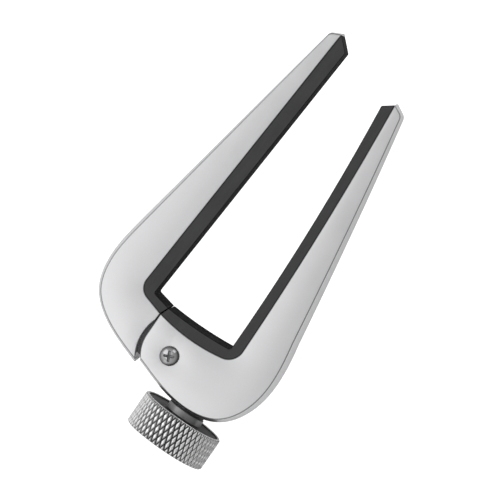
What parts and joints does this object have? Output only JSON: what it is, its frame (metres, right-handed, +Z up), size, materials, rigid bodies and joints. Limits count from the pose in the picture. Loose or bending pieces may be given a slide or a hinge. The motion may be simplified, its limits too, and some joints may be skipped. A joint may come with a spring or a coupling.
{
  "type": "guitar capo",
  "caption": "Screw-closed guitar capo: a long string arm pivots on an L-shaped neck arm, both lined with black rubber, and a knurled thumbscrew at the heel draws them together.",
  "frame": {"origin": "under the middle of the capo as it lies flat, at the lowest point of the knurled knob", "axes": "+X across the mouth from the string arm to the neck arm, +Y from the knob to the arms' tips, +Z up through the depth, out of the flat front face"},
  "size_m": [0.0528, 0.1102, 0.0223],
  "materials": {
    "arm_metal": "satin, fine-grained",
    "pad_rubber": "matt moulded",
    "bright_steel": "bright plated",
    "plain_steel": "turned",
    "bearing_brass": "turned",
    "washer_nylon": "black, turned"
  },
  "bodies": {
    "neck_body": {"neck_arm": "arm_metal", "neck_pad": "pad_rubber", "pivot_screw": "bright_steel", "pivot_barrel": "bright_steel", "front_thrust_washer": "washer_nylon", "back_thrust_washer": "washer_nylon", "screw_bush": "bearing_brass", "knob_washer": "washer_nylon", "return_spring": "plain_steel"},
    "string_body": {"string_arm": "arm_metal", "string_pad": "pad_rubber", "pivot_bush": "bearing_brass"},
    "thumbscrew": {"thumb_knob": "bright_steel", "screw_stud": "plain_steel", "lock_screw": "plain_steel", "stud_clip": "plain_steel"},
    "nut_body": {"barrel_nut": "plain_steel"}
  },
  "joints": [
    {"name": "knob_turn", "type": "hinge", "parent": "neck_body", "child": "thumbscrew", "pos_m": [0.01148, -0.05063, 0.01115], "axis": [0, 1, 0], "range_deg": [-1190, 0]},
    {"name": "arm_swing", "type": "hinge", "parent": "neck_body", "child": "string_body", "pos_m": [0.00043, -0.03518, 0.01115], "axis": [0, 0, 1], "range_deg": [0, 12], "deforming": ["return_spring"]},
    {"name": "nut_travel", "type": "slide", "parent": "neck_body", "child": "nut_body", "axis": [0, 1, 0], "range_m": [0, 0.0024]}
  ],
  "couplings": [
    {"joint": "arm_swing", "follows": "knob_turn", "ratio": -0.010055},
    {"joint": "nut_travel", "follows": "knob_turn", "m_per_rad": -0.00011141}
  ]
}
